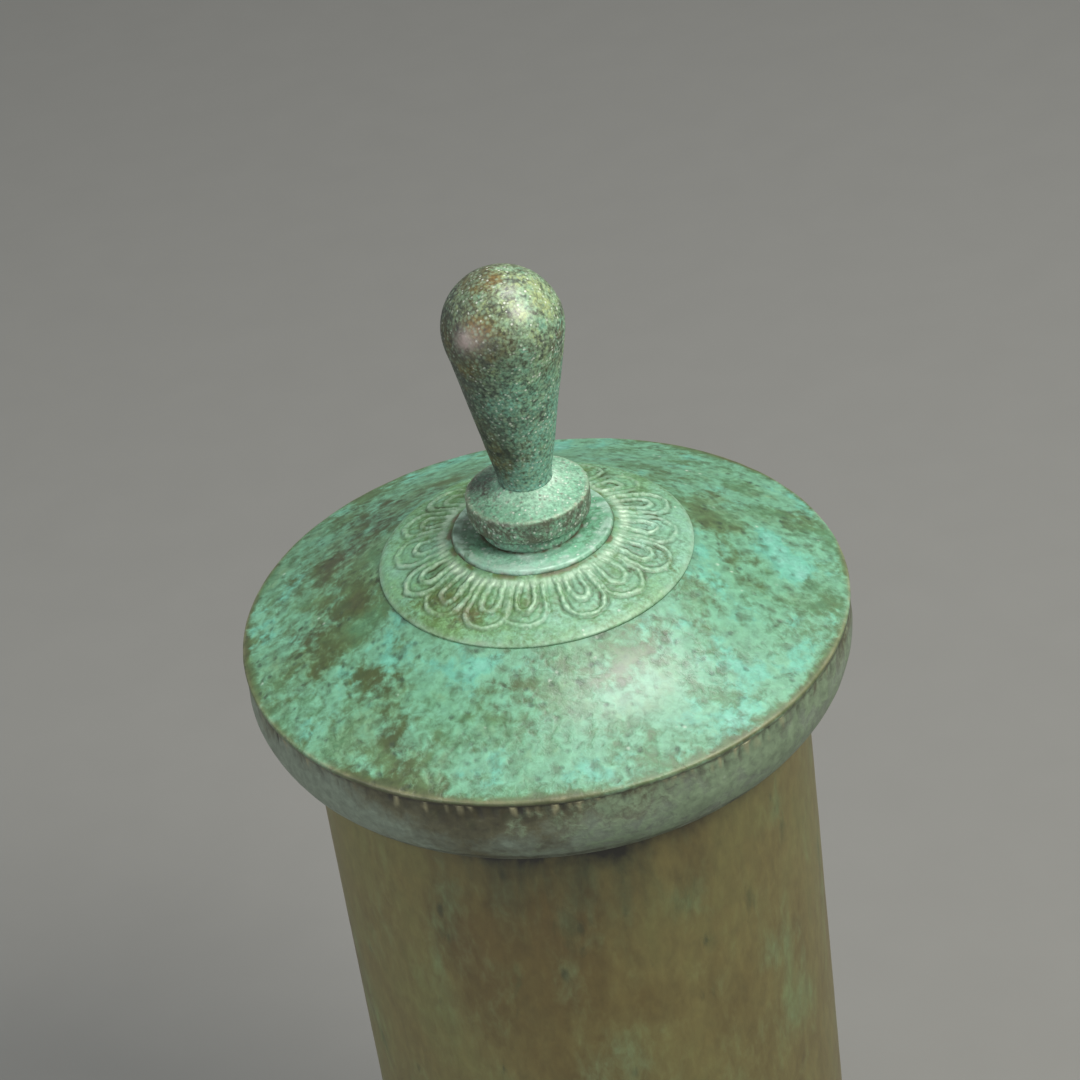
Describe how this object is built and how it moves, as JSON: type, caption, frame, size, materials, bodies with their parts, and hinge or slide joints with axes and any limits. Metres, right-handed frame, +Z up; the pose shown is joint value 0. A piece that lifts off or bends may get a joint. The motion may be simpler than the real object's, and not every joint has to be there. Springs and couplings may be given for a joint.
{
  "type": "lidded bronze vessel",
  "caption": "Straight-walled bronze vessel on a ring foot, with a lift-off umbrella lid, a lotus rosette and a bud-shaped finger knob.",
  "frame": {"origin": "middle of the foot's resting face", "axes": "+Z up along the vessel's axis, the petals repeat about it"},
  "size_m": [0.09, 0.09, 0.2219],
  "materials": {
    "brown_bronze": "olive brown patina, worn satin",
    "green_bronze": "mint and turquoise verdigris with olive patches, matt",
    "rosette_bronze": "pale green verdigris in the recesses, cream on the raised lines, matt",
    "knob_bronze": "grey-green granular patina with brown patches",
    "inner_bronze": "dark brown oxide, dull"
  },
  "bodies": {
    "vessel": {"body_tube": "brown_bronze", "base_plate": "inner_bronze", "foot_ring": "brown_bronze"},
    "lid": {"lid_shell": "green_bronze", "lid_locating_ring": "inner_bronze", "rosette_plate": "rosette_bronze", "boss_ring": "rosette_bronze", "knob_collar": "knob_bronze", "knob": "knob_bronze", "clench_washer": "inner_bronze"}
  },
  "joints": [
    {"name": "lid_lift", "type": "slide", "parent": "vessel", "child": "lid", "axis": [0, 0, 1], "range_m": [0, 0.1]}
  ]
}
